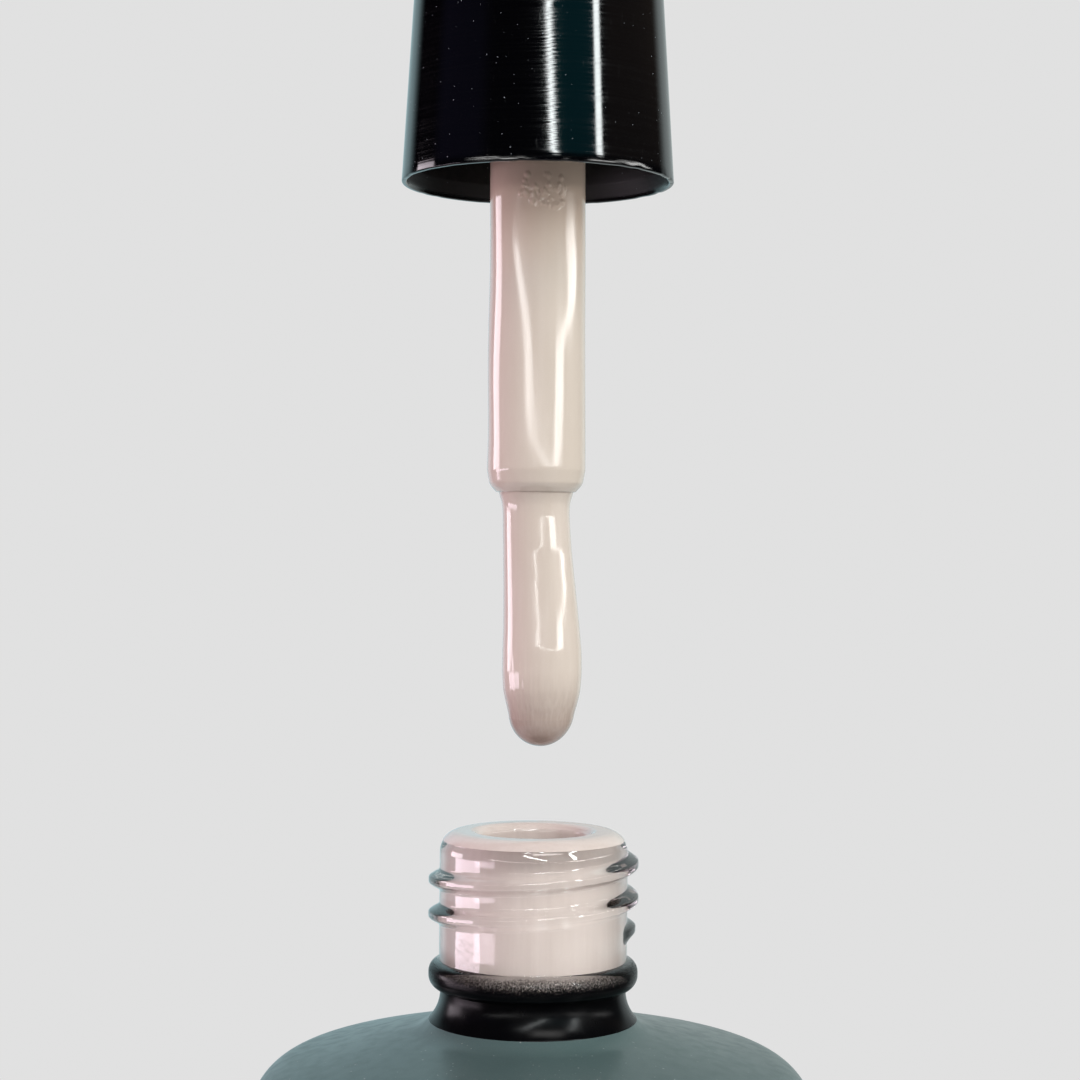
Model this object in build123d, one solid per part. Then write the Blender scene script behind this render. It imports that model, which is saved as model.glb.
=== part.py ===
"""Round nail polish bottle with a screw cap and a wand brush, drawn with the cap lifted off.

Frame: millimetres, +Z up, origin at the centre of the circle that the foot stands on.
The cap and its brush hang on the bottle's axis, LIFT above their closed place, so each of
their parts is drawn in its closed place, with heights measured from the lip, and then raised.
"""
from build123d import *
import math
import os

os.makedirs("parts", exist_ok=True)

# ---- neck finish (13 mm continuous thread, 12 threads per inch) ----
PITCH = 25.4 / 12
NECK_R = 5.785
THREAD_CREST_R = 6.46
THREAD_BASE_W = 1.30
THREAD_CREST_W = 0.50
THREAD_TOP_Z = -1.90          # height of the ridge's centre line at +X, from the lip
THREAD_FROM_DEG = -740.0      # lower end, counted anticlockwise from +X
THREAD_TO_DEG = 40.0          # upper end
THREAD_SINK = 0.25            # how far a ridge's root runs into its wall
WASH_OUT_R = 6.36             # the wash-out's cylinder, which cuts the ridge down towards its end
WASH_OUT_SHIFT = 1.16
WASH_OUT_BLOCK = (4, 9, 1.8)
BORE_R = 3.45
LIP_ROUND = 1.25
MOUTH_ROUND = 0.45
BEAD_R = 6.42
BEAD_Z = -8.70
BEAD_H = 1.73
BEAD_FLAT = 0.1               # half height of the bead's straight outer face
BEAD_SINK = 0.8

# ---- bottle body ----
LIP_Z = 53.5
BODY_R = 17.3
LOWER_NECK_R = 5.72
SHOULDER_SLOPE_DEG = 13.9
SHOULDER_Z = -11.86           # height of the shoulder line at the radius SHOULDER_AT_R
SHOULDER_AT_R = 6.0
SHOULDER_ROUND = 3.3
NECK_FILLET = 2.6
BASE_Z = 0.40
BASE_ROUND = 2.5
FOOT_OUTER_R = 14.3
FOOT_INNER_R = 12.6
PUSH_UP_Z = 1.30
PUSH_UP_FALL = 0.3            # how much lower the hollow under the base is at its edge
FOOT_ROUND = 0.2
FOOT_SIDE = 0.15
PUSH_UP_SIDE = 0.6
BASE_DISC_SIDE = 1.0          # bare ring between the foot and the lacquered disc
WALL = 2.27
FLOOR_Z = 4.5
FLOOR_ROUND = 2.5
LACQUER_T = 0.12
LAYER_GAP = 0.02              # between a coating or liquid and what it lies on

# ---- contents ----
FILL_Z = 32.5
FILM_T = 0.12
FILM_LOW_Z = -9.0

# ---- cap ----
LIFT = 51.9
TURNS = 2
CAP_LOW_Z = -12.0
CAP_H = 38.0
CAP_RIM_R = 8.39
CAP_TAPER = 0.0612            # radius lost per mm of height
CAP_WALL = 0.72
CAP_TOP_T = 1.4
CAP_EDGE_ROUND = 1.0
CAP_DOME = 0.25
CAP_RIM_ROUND = 0.15
FIN_COUNT = 6
FIN_T = 0.8
FIN_INNER_R = 4.2
FIN_SINK = 0.3
FIN_TOP_SINK = 0.2

# ---- inner cap ----
SKIRT_LOW_Z = -7.4
CAP_ROOT_R = 6.58
CAP_CREST_R = 5.95
CAP_BASE_W = 1.10
CAP_CREST_W = 0.40
CAP_THREAD_FROM_DEG = -665.0
CAP_THREAD_TO_DEG = -240.0
SEAL_BORE_R = 6.05
SEAL_BORE_Z = -0.9
SKIRT_GAP = 0.16              # between the skirt and the outer cap, bridged by the ribs
RIB_COUNT = 24
RIB_W = 0.5
RIB_T = 0.4
RIB_INSET = 0.5               # from the ends of the skirt
ROOF_T = 1.0
SKIRT_ROUND = 0.2
BOSS_R = 3.2
BOSS_TOP_Z = 8.0
BOSS_ROUND = 0.3
BOSS_FILLET = 0.4

# ---- seals ----
SEAL_GAP = 0.05
GASKET_T = 0.9
SLIP_RING_T = 0.7
SEAL_OUTER_R = 5.6
SEAL_EDGE = 0.12
ROOF_Z = 3 * SEAL_GAP + GASKET_T + SLIP_RING_T

# ---- wand ----
STEM_R = 2.6
SPIGOT_R = 2.1
BARB_R = 2.45
BARB_H = 1.2
BARB_POINT = 0.2
STEM_END_Z = -30.4
STEM_END_ROUND = 0.4
STEM_COAT_TOP_Z = -4.6
STEM_COAT_TOP_R = 2.93
STEM_COAT_TOP_ROUND = 0.15
STEM_COAT_END_R = 3.085
STEM_COAT_END_Z = -31.0
STEM_COAT_END_ROUND = 0.6
STEM_COAT_END_FALL = 0.15
COAT_WAIST_R = 2.35
SOCKET_R = 1.75
SOCKET_DEPTH = 4.2
STAPLE_R = 0.25
STAPLE_HALF_LENGTH = 2.3
STAPLE_Z = -27.8

# ---- bristles ----
BRUSH_TIP_Z = -46.66
FILAMENT_R = 0.13
FILAMENT_STEP = 0.29
FILAMENT_GAP = 0.02
FILAMENT_LAYERS = 4
TUFT_R = 1.58
TUFT_END_Z = -46.2
TUFT_DOME = 1.9               # how much shorter the outermost filaments are
BRUSH_NECK_R = 2.07
BRUSH_NECK_Z = -32.1
BRUSH_NECK_ROUND = 0.8
BRUSH_BELLY_R = 2.5
BRUSH_BELLY_Z = -42.1
BRUSH_BELLY_ROUND = 6.0
BRUSH_NOSE_R = 2.3
BRUSH_NOSE_ROUND = 2.1
BRUSH_HOLLOW_CONE = 1.0


def turned(corners):
    """Solid of revolution from a closed outline of (radius, height, corner rounding)."""
    points = [(radius, height) for radius, height, _ in corners]
    rounds = [rounding for _, _, rounding in corners]
    outline = FilletPolyline(*points, radius=rounds, close=True)
    return revolve(Plane.XZ * make_face(outline), Axis.Z)


def tube(inner_r, outer_r, low_z, high_z, edge=0.0):
    """Plain ring with its outer edges rounded."""
    corners = [
        (inner_r, low_z, 0),
        (outer_r, low_z, edge),
        (outer_r, high_z, edge),
        (inner_r, high_z, 0),
    ]
    return turned(corners)


def thread_height(degrees):
    """Height of the neck thread's centre line, from the lip."""
    return THREAD_TOP_Z + PITCH * degrees / 360


def helical_ridge(root_r, crest_r, base_w, crest_w, from_deg, to_deg, drop=0.0):
    """Right-hand ridge along the neck thread's helix, from the wall at root_r to crest_r."""
    low_z = thread_height(from_deg) - drop
    sink = THREAD_SINK if crest_r > root_r else -THREAD_SINK
    section = Polyline(
        (root_r - sink, -base_w / 2),
        (root_r, -base_w / 2),
        (crest_r, -crest_w / 2),
        (crest_r, crest_w / 2),
        (root_r, base_w / 2),
        (root_r - sink, base_w / 2),
        close=True,
    )
    path = Helix(PITCH, PITCH * (to_deg - from_deg) / 360, root_r)
    ridge = sweep(Plane.XZ * make_face(section), path=path, normal=Vector(0, 0, 1))
    return Pos(0, 0, low_z) * Rot(0, 0, from_deg) * ridge


def wash_out(degrees, side):
    """Cutter that fades the end of the neck thread into the wall, on one side of that end."""
    block = Pos(NECK_R + 1.5, 0, 0) * Box(*WASH_OUT_BLOCK)
    core = Rot(0, 0, 120 * side) * Pos(WASH_OUT_SHIFT, 0, 0) * Cylinder(WASH_OUT_R, 4)
    return Pos(0, 0, thread_height(degrees)) * Rot(0, 0, degrees) * (block - core)


def shoulder_height(radius, depth):
    """Height of the sloping shoulder, depth mm under its finished surface."""
    slope = math.radians(SHOULDER_SLOPE_DEG)
    fall = (radius - SHOULDER_AT_R) * math.tan(slope) + depth / math.cos(slope)
    return LIP_Z + SHOULDER_Z - fall


def body_line(depth):
    """Corners from the lower neck to the foot, depth mm under the finished surface."""
    neck_r = LOWER_NECK_R - depth
    wall_r = BODY_R - depth
    return [
        (neck_r, shoulder_height(neck_r, depth), NECK_FILLET + depth),
        (wall_r, shoulder_height(wall_r, depth), SHOULDER_ROUND - depth),
        (wall_r, BASE_Z + depth, BASE_ROUND - depth),
        (FOOT_OUTER_R, BASE_Z + depth, 0),
    ]


def cavity_line():
    """Corners of the inside from the floor to the bore."""
    wall_r = BODY_R - WALL
    return [
        (0, FLOOR_Z, 0),
        (wall_r, FLOOR_Z, FLOOR_ROUND),
        (wall_r, shoulder_height(wall_r, WALL), SHOULDER_ROUND - WALL),
        (BORE_R, shoulder_height(BORE_R, WALL), NECK_FILLET + WALL),
    ]


def bottle_glass():
    """Clear glass bottle: body, hollow, neck, screw thread and transfer bead."""
    outline = cavity_line()
    outline += [(BORE_R, LIP_Z, MOUTH_ROUND), (NECK_R, LIP_Z, LIP_ROUND)]
    outline += [(NECK_R, LIP_Z + BEAD_Z, 0), (LOWER_NECK_R - LACQUER_T, LIP_Z + BEAD_Z, 0)]
    outline += body_line(LACQUER_T)
    outline += [
        (FOOT_OUTER_R - FOOT_SIDE, 0, FOOT_ROUND),
        (FOOT_INNER_R, 0, FOOT_ROUND),
        (FOOT_INNER_R - PUSH_UP_SIDE, PUSH_UP_Z - PUSH_UP_FALL, PUSH_UP_FALL),
        (0, PUSH_UP_Z, 0),
    ]
    bead_low = LIP_Z + BEAD_Z - BEAD_H / 2
    bead = tube(NECK_R - BEAD_SINK, BEAD_R, bead_low, bead_low + BEAD_H, BEAD_H / 2 - BEAD_FLAT)
    thread = helical_ridge(
        NECK_R, THREAD_CREST_R, THREAD_BASE_W, THREAD_CREST_W, THREAD_FROM_DEG, THREAD_TO_DEG
    )
    thread -= wash_out(THREAD_TO_DEG, -1)
    thread -= wash_out(THREAD_FROM_DEG, 1)
    return turned(outline) + bead + Pos(0, 0, LIP_Z) * thread


def bottle_lacquer():
    """Lacquer over the body and lower neck, and over the hollow under the base."""
    top_z = LIP_Z + BEAD_Z - BEAD_H / 2
    outside = [(LOWER_NECK_R, top_z, 0)] + body_line(0)
    inside = [(LOWER_NECK_R - LACQUER_T, top_z, 0)] + body_line(LACQUER_T)
    shell = turned(outside + inside[::-1])
    disc_r = FOOT_INNER_R - BASE_DISC_SIDE
    disc_z = PUSH_UP_Z - PUSH_UP_FALL
    disc = turned(
        [
            (0, PUSH_UP_Z - LAYER_GAP, 0),
            (disc_r, disc_z - LAYER_GAP, 0),
            (disc_r, disc_z - LACQUER_T, 0),
            (0, PUSH_UP_Z - LACQUER_T, 0),
        ]
    )
    return Compound([shell, disc])


def gel_polish():
    """The gel in the body, up to its level."""
    wall_r = BODY_R - WALL - LAYER_GAP
    floor_z = FLOOR_Z + LAYER_GAP
    corners = [(0, floor_z, 0), (wall_r, floor_z, FLOOR_ROUND), (wall_r, FILL_Z, 0), (0, FILL_Z, 0)]
    return turned(corners)


def neck_gel_film():
    """Gel wiped off the brush, lining the neck's bore."""
    outer_r = BORE_R - LAYER_GAP
    return tube(outer_r - FILM_T, outer_r, LIP_Z + FILM_LOW_Z, LIP_Z - MOUTH_ROUND)


def cap_radius(height):
    """Outside radius of the outer cap at a closed height."""
    return CAP_RIM_R - CAP_TAPER * (height - CAP_LOW_Z)


def cap_bore_radius(height):
    """Inside radius of the outer cap at a closed height."""
    return cap_radius(height) - CAP_WALL


def outer_cap():
    """Tapered gloss overcap, a thin shell with fins inside that stop the inner cap."""
    top_z = CAP_LOW_Z + CAP_H
    roof_z = top_z - CAP_TOP_T
    shell = turned(
        [
            (cap_bore_radius(CAP_LOW_Z), CAP_LOW_Z, CAP_RIM_ROUND),
            (cap_radius(CAP_LOW_Z), CAP_LOW_Z, CAP_RIM_ROUND),
            (cap_radius(top_z), top_z, CAP_EDGE_ROUND),
            (0, top_z + CAP_DOME, 0),
            (0, roof_z, 0),
            (cap_bore_radius(roof_z), roof_z, 0),
        ]
    )
    fin_low = ROOF_Z + ROOF_T + SEAL_GAP
    fin_h = roof_z - fin_low + FIN_TOP_SINK
    fin_out = cap_bore_radius(roof_z) + FIN_SINK
    fin_w = fin_out - FIN_INNER_R
    fin = Pos((FIN_INNER_R + fin_out) / 2, 0, fin_low + fin_h / 2) * Box(fin_w, FIN_T, fin_h)
    lower_out = cap_bore_radius(fin_low) + FIN_SINK
    wedge = Plane.XZ * make_face(
        Polyline(
            (fin_out - FIN_SINK, fin_low),
            (lower_out, fin_low),
            (fin_out, roof_z),
            (fin_out - FIN_SINK, roof_z),
            close=True,
        )
    )
    fin += extrude(wedge, FIN_T / 2, both=True)
    for index in range(FIN_COUNT):
        shell += Rot(0, 0, 360 / FIN_COUNT * index) * fin
    return shell


def inner_cap():
    """Threaded inner cap, with the boss that holds the wand and ribs that grip the overcap."""
    roof_top = ROOF_Z + ROOF_T
    skirt_low_r = cap_bore_radius(SKIRT_LOW_Z) - SKIRT_GAP
    skirt_top_r = cap_bore_radius(roof_top) - SKIRT_GAP
    body = turned(
        [
            (SPIGOT_R, ROOF_Z, 0),
            (SEAL_BORE_R, ROOF_Z, 0),
            (SEAL_BORE_R, SEAL_BORE_Z, 0),
            (CAP_ROOT_R, SEAL_BORE_Z, 0),
            (CAP_ROOT_R, SKIRT_LOW_Z, 0),
            (skirt_low_r, SKIRT_LOW_Z, SKIRT_ROUND),
            (skirt_top_r, roof_top, SKIRT_ROUND),
            (BOSS_R, roof_top, BOSS_FILLET),
            (BOSS_R, BOSS_TOP_Z, BOSS_ROUND),
            (SPIGOT_R, BOSS_TOP_Z, 0),
        ]
    )
    body += helical_ridge(
        CAP_ROOT_R,
        CAP_CREST_R,
        CAP_BASE_W,
        CAP_CREST_W,
        CAP_THREAD_FROM_DEG,
        CAP_THREAD_TO_DEG,
        drop=PITCH / 2,
    )
    rib_low = SKIRT_LOW_Z + RIB_INSET
    rib_top = roof_top - RIB_INSET
    band = turned(
        [
            (cap_bore_radius(rib_low) - RIB_T, rib_low, 0),
            (cap_bore_radius(rib_low), rib_low, 0),
            (cap_bore_radius(rib_top), rib_top, 0),
            (cap_bore_radius(rib_top) - RIB_T, rib_top, 0),
        ]
    )
    mid_z = (rib_low + rib_top) / 2
    bar = Pos(CAP_RIM_R / 2, 0, mid_z) * Box(CAP_RIM_R, RIB_W, rib_top - rib_low)
    for index in range(RIB_COUNT):
        body += band & (Rot(0, 0, 360 / RIB_COUNT * index) * bar)
    return body


def gasket():
    """Loose rubber seal that sits on the lip, low in the cap while the cap is unscrewed."""
    seat_z = SEAL_GAP - TURNS * PITCH
    return tube(STEM_R + SEAL_GAP, SEAL_OUTER_R, seat_z, seat_z + GASKET_T, SEAL_EDGE)


def slip_ring():
    """Thin hard ring between the gasket and the inner cap's roof."""
    low_z = 2 * SEAL_GAP + GASKET_T
    return tube(STEM_R + SEAL_GAP, SEAL_OUTER_R, low_z, low_z + SLIP_RING_T, SEAL_EDGE)


def anchor_staple():
    """Brass wire that pins the folded bristles in the stem's socket."""
    return Pos(0, 0, STAPLE_Z) * Rot(0, 90, 0) * Cylinder(STAPLE_R, 2 * STAPLE_HALF_LENGTH)


def brush_stem():
    """Wand: barbed spigot, round stem and the socket for the bristles."""
    stem = turned(
        [
            (0, STEM_END_Z, 0),
            (STEM_R, STEM_END_Z, STEM_END_ROUND),
            (STEM_R, ROOF_Z, 0),
            (SPIGOT_R, ROOF_Z, 0),
            (SPIGOT_R, BOSS_TOP_Z, 0),
            (BARB_R, BOSS_TOP_Z, 0),
            (SPIGOT_R - BARB_POINT, BOSS_TOP_Z + BARB_H, BARB_POINT),
            (0, BOSS_TOP_Z + BARB_H, 0),
        ]
    )
    socket = Pos(0, 0, STEM_END_Z + SOCKET_DEPTH / 2) * Cylinder(SOCKET_R, SOCKET_DEPTH)
    return stem - socket - anchor_staple()


def filament_end(x, y):
    """Height at which a filament is cut, on the tuft's rounded end."""
    return TUFT_END_Z + TUFT_DOME * (x * x + y * y) / TUFT_R**2


def filament(x, y):
    """One bristle folded over the staple, with a leg on each side of it."""
    end_z = filament_end(x, y)
    legs = [Line((x, -y, end_z), (x, -y, STAPLE_Z)), Line((x, y, STAPLE_Z), (x, y, end_z))]
    fold = ThreePointArc((x, -y, STAPLE_Z), (x, 0, STAPLE_Z + y), (x, y, STAPLE_Z))
    section = Pos(x, -y, end_z) * Circle(FILAMENT_R)
    return sweep(section, path=Wire([legs[0], fold, legs[1]]))


def bristles():
    """Tuft of nylon filaments, in nested layers over the staple."""
    hairs = []
    for layer in range(FILAMENT_LAYERS):
        y = STAPLE_R + FILAMENT_R + FILAMENT_GAP + layer * FILAMENT_STEP
        half_count = int(math.sqrt(TUFT_R**2 - y**2) / FILAMENT_STEP)
        for column in range(-half_count, half_count + 1):
            hairs.append(filament(column * FILAMENT_STEP, y))
    return Compound(hairs)


def stem_gel_coat():
    """Gel over the stem, with a rounded shoulder under the stem's end."""
    inner_r = STEM_R + LAYER_GAP
    tuft_r = SOCKET_R + LAYER_GAP
    return turned(
        [
            (inner_r, STEM_COAT_TOP_Z, 0),
            (STEM_COAT_TOP_R, STEM_COAT_TOP_Z, STEM_COAT_TOP_ROUND),
            (STEM_COAT_END_R, STEM_COAT_END_Z + STEM_COAT_END_FALL, STEM_COAT_END_ROUND),
            (COAT_WAIST_R, STEM_COAT_END_Z, 0),
            (tuft_r, STEM_COAT_END_Z, 0),
            (tuft_r, STEM_END_Z - LAYER_GAP, 0),
            (inner_r, STEM_END_Z - LAYER_GAP, STEM_END_ROUND),
        ]
    )


def bristle_gel_coat():
    """Gel round the tuft: slim neck, fuller belly and blunt rounded nose."""
    hollow_r = SOCKET_R + LAYER_GAP
    hollow_end = TUFT_END_Z - LAYER_GAP
    return turned(
        [
            (hollow_r, STEM_COAT_END_Z, 0),
            (COAT_WAIST_R, STEM_COAT_END_Z, 0),
            (BRUSH_NECK_R, BRUSH_NECK_Z, BRUSH_NECK_ROUND),
            (BRUSH_BELLY_R, BRUSH_BELLY_Z, BRUSH_BELLY_ROUND),
            (BRUSH_NOSE_R, BRUSH_TIP_Z, BRUSH_NOSE_ROUND),
            (0, BRUSH_TIP_Z, 0),
            (0, hollow_end, 0),
            (hollow_r / 2, hollow_end, 0),
            (hollow_r, hollow_end + BRUSH_HOLLOW_CONE, 0),
        ]
    )


def write(name, shape):
    """Save one part under its node name."""
    shape.label = name
    export_step(shape, f"parts/{name}.step")


STANDING = [bottle_glass, bottle_lacquer, gel_polish, neck_gel_film]
LIFTED = [outer_cap, inner_cap, gasket, slip_ring, brush_stem, anchor_staple, bristles]
LIFTED += [stem_gel_coat, bristle_gel_coat]

for make in STANDING:
    write(make.__name__, make())

for make in LIFTED:
    write(make.__name__, Pos(0, 0, LIP_Z + LIFT) * make())
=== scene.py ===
import bmesh
import bpy
import math
import numpy as np
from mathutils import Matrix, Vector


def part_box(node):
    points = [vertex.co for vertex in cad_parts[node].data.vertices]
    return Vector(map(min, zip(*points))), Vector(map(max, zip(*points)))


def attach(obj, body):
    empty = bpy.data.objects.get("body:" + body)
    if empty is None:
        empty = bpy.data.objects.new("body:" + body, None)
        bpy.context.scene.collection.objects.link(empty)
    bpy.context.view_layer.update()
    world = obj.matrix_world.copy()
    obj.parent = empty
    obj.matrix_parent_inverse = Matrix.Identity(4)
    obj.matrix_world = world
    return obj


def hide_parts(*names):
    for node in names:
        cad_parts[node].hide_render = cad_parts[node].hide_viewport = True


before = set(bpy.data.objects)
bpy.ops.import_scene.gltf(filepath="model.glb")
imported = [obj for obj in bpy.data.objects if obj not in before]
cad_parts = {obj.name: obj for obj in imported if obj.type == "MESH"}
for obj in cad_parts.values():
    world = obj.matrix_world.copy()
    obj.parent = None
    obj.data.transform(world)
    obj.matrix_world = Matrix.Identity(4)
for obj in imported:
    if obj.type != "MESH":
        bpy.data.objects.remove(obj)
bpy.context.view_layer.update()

# Lengths in this script are millimetres in the CAD frame until a mesh is made.
MM = 0.001
FULL_TURN = 2 * math.pi

# ---- bottle, as in the CAD part ----
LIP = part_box("bottle_glass")[1].z / MM
PITCH = 25.4 / 12
NECK_R = 5.785
LIP_ROUND = 1.25
MOUTH_ROUND = 0.45
BORE_R = 3.45
LOWER_NECK_R = 5.72
BEAD_R = 6.42
BEAD_Z = LIP - 8.7
BEAD_ROUND = 0.765
BEAD_FLAT = 0.1
BEAD_TOP = BEAD_Z + BEAD_ROUND + BEAD_FLAT
BODY_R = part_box("bottle_lacquer")[1].x / MM
SHOULDER_SLOPE = math.radians(13.9)
SHOULDER_Z = LIP - 11.86
SHOULDER_AT_R = 6.0
SHOULDER_ROUND = 3.3
NECK_FILLET = 2.6
WALL = 2.27
FLOOR_Z = 4.5
BASE_Z = 0.40
BASE_ROUND = 2.5
FOOT_OUTER_R = 14.3
FOOT_INNER_R = 12.6
PUSH_UP_Z = 1.30
LACQUER_T = 0.12

# ---- screw thread on the neck ----
THREAD_TOP = LIP - 1.90
THREAD_LOW_DEG = -740.0
THREAD_HIGH_DEG = 40.0
THREAD_H = 0.675
THREAD_HALF_BASE = 0.70
THREAD_HALF_CREST = 0.13
THREAD_FADE_DEG = 34.0
THREAD_TURNS = 4             # full turns that the thread's angles reach into

# ---- cap and brush, at their lifted place ----
CAP_LOW, CAP_HIGH = (corner.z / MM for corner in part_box("outer_cap"))
CAP_RIM_R = 8.39
CAP_TAPER = 0.0612
CAP_WALL = 0.72
CAP_TOP_T = 1.4
CAP_DOME = 0.25              # how much lower the top is at its edge than in its middle
CAP_TOP_ROUND = 1.0
CAP_RIM_ROUND = 0.10
CAP_RIM_LAND = 0.30          # flat width of the rim, before the wall thickens inwards
CAP_BEVEL_H = 1.1
CAP_BEVEL_ROUND = 0.5
STEM_COAT_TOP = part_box("stem_gel_coat")[1].z / MM
STEM_COAT_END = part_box("stem_gel_coat")[0].z / MM
STEM_COAT_TOP_R = 2.93
STEM_COAT_END_R = 3.085
STEM_R = 2.6
STEM_END = STEM_COAT_END + 0.6
SOCKET_R = 1.75
WAIST_R = 2.35
BRUSH_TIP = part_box("bristle_gel_coat")[0].z / MM
TUFT_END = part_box("bristles")[0].z / MM
TUFT_ROUND_H = 0.98          # height over which the tuft narrows to its end
GAP = 0.02                   # air between a visual piece and the CAD node beside it


# ------------------------------------------------------------------ outlines and meshes

def rounded(corners, step=0.12):
    """Points along an outline of (radius, height, rounding) corners, with arcs where rounded."""
    points = []
    for index, (x, z, rounding) in enumerate(corners):
        here = np.array((x, z), float)
        if not rounding:
            points.append(here)
            continue
        back = np.array(corners[index - 1][:2], float) - here
        ahead = np.array(corners[(index + 1) % len(corners)][:2], float) - here
        back /= np.linalg.norm(back)
        ahead /= np.linalg.norm(ahead)
        half = math.acos(float(np.clip(back @ ahead, -1, 1))) / 2
        middle = (back + ahead) / np.linalg.norm(back + ahead)
        centre = here + middle * rounding / math.sin(half)
        start = here + back * rounding / math.tan(half) - centre
        end = here + ahead * rounding / math.tan(half) - centre
        sweep = math.copysign(math.pi - 2 * half, start[0] * end[1] - start[1] * end[0])
        count = max(4, math.ceil(abs(sweep) * rounding / step))
        for turn in np.linspace(0, sweep, count + 1):
            cos, sin = math.cos(turn), math.sin(turn)
            turned = (start[0] * cos - start[1] * sin, start[0] * sin + start[1] * cos)
            points.append(centre + turned)
    return points


def divided(points, step):
    """The same outline with no run longer than step."""
    out = [np.array(points[0], float)]
    for start, end in zip(points[:-1], points[1:]):
        start, end = np.array(start, float), np.array(end, float)
        count = max(1, math.ceil(np.linalg.norm(end - start) / step))
        out += [start + (end - start) * part / count for part in range(1, count + 1)]
    return out


def build_mesh(name, grid, looped=False, sharp=40):
    """Object with a smooth mesh over a grid of points that closes around, its pole rows welded."""
    rows, columns = grid.shape[:2]
    index = np.arange(rows * columns).reshape(rows, columns)
    beside = np.roll(index, -1, axis=1)
    above, beside_above = np.roll(index, -1, axis=0), np.roll(beside, -1, axis=0)
    faces = np.stack([index, beside, beside_above, above], axis=-1)
    if not looped:
        faces = faces[:-1]
    mesh = bpy.data.meshes.new(name)
    mesh.from_pydata((grid.reshape(-1, 3) * MM).tolist(), [], faces.reshape(-1, 4).tolist())
    build = bmesh.new()
    build.from_mesh(mesh)
    bmesh.ops.remove_doubles(build, verts=build.verts, dist=1e-7)
    bmesh.ops.recalc_face_normals(build, faces=build.faces)
    build.to_mesh(mesh)
    build.free()
    mesh.shade_smooth()
    mesh.set_sharp_from_angle(angle=math.radians(sharp))
    piece = bpy.data.objects.new(name, mesh)
    bpy.context.scene.collection.objects.link(piece)
    return piece


def revolved(name, outline, segments=240, relief=None, bend=None, looped=False, sharp=40):
    """Turned piece from an outline of (radius, height), with relief in it and its axis bent."""
    outline = np.array(outline, float)
    turn = np.linspace(0, FULL_TURN, segments, endpoint=False)
    radius, angle = np.meshgrid(outline[:, 0], turn, indexing="ij")
    height = np.repeat(outline[:, 1:2], segments, axis=1)
    if relief:
        radius, height = relief(radius, height, angle)
    x = radius * np.cos(angle)
    y = radius * np.sin(angle)
    if bend:
        x = x + bend(height)
    return build_mesh(name, np.stack([x, y, height], axis=-1), looped, sharp)


def waves(angle, height, seed, count, around, along):
    """Smooth irregular ripple of about -1 to 1, the same after a full turn."""
    random = np.random.default_rng(seed)
    total = np.zeros_like(angle)
    for _ in range(count):
        turns = random.integers(1, around + 1)
        rate = random.uniform(-along, along)
        total += np.cos(turns * angle + rate * height + random.uniform(0, FULL_TURN))
    return total / math.sqrt(count)


def smooth(value, low, high):
    """Smooth step from 0 at low to 1 at high."""
    share = np.clip((value - low) / (high - low), 0, 1)
    return share * share * (3 - 2 * share)


def place(piece, body, slot, material, *nodes):
    """Give a piece its material, its body and the CAD nodes it stands for; its record slot is not
    used.
    """
    piece.data.materials.clear()
    piece.data.materials.append(material)
    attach(piece, body)
    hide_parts(*nodes)
    return piece


# ------------------------------------------------------------------ shader helpers

def new_material(name, values):
    """Material with a Principled shader and plain values on its own sockets."""
    material = bpy.data.materials.new(name)
    material.use_nodes = True
    shader = material.node_tree.nodes["Principled BSDF"]
    for socket, value in values.items():
        shader.inputs[socket].default_value = value
    return material, material.node_tree, shader


def node(tree, kind, values=None, **settings):
    """New node with settings, and values or links on its inputs."""
    made = tree.nodes.new(kind)
    for name, value in settings.items():
        setattr(made, name, value)
    for socket, value in (values or {}).items():
        if isinstance(value, bpy.types.NodeSocket):
            tree.links.new(value, made.inputs[socket])
        else:
            made.inputs[socket].default_value = value
    return made


def calc(tree, operation, *values, clamp=False):
    """Math node."""
    inputs = dict(enumerate(values))
    return node(tree, "ShaderNodeMath", inputs, operation=operation, use_clamp=clamp).outputs[0]


def ramp(tree, value, low, high, to_low=0.0, to_high=1.0, kind="SMOOTHSTEP"):
    """Clamped map from low..high to to_low..to_high."""
    inputs = {
        "Value": value,
        "From Min": low,
        "From Max": high,
        "To Min": to_low,
        "To Max": to_high,
    }
    return node(tree, "ShaderNodeMapRange", inputs, interpolation_type=kind).outputs["Result"]


def tint(tree, factor, low, high):
    """Colour mix."""
    mixer = node(tree, "ShaderNodeMix", data_type="RGBA")
    factor_in, low_in, high_in = (mixer.inputs[index] for index in (0, 6, 7))
    for socket, value in ((factor_in, factor), (low_in, low), (high_in, high)):
        if isinstance(value, bpy.types.NodeSocket):
            tree.links.new(value, socket)
        else:
            socket.default_value = value
    return mixer.outputs[2]


def object_position(tree):
    """Place in the CAD frame, in metres."""
    return node(tree, "ShaderNodeTexCoord").outputs["Object"]


def stretched(tree, x, y, z):
    """Object coordinates scaled along each axis, in units of 1 / mm."""
    scale = {0: object_position(tree), 1: (x / MM, y / MM, z / MM)}
    return node(tree, "ShaderNodeVectorMath", scale, operation="MULTIPLY").outputs[0]


def noise(tree, vector, detail=2.0, roughness=0.5):
    """Noise in the units of the vector."""
    inputs = {"Vector": vector, "Scale": 1.0, "Detail": detail, "Roughness": roughness}
    return node(tree, "ShaderNodeTexNoise", inputs).outputs["Fac"]


def object_height(tree):
    """Height in the CAD frame, in metres."""
    return node(tree, "ShaderNodeSeparateXYZ", {0: object_position(tree)}).outputs["Z"]


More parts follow.
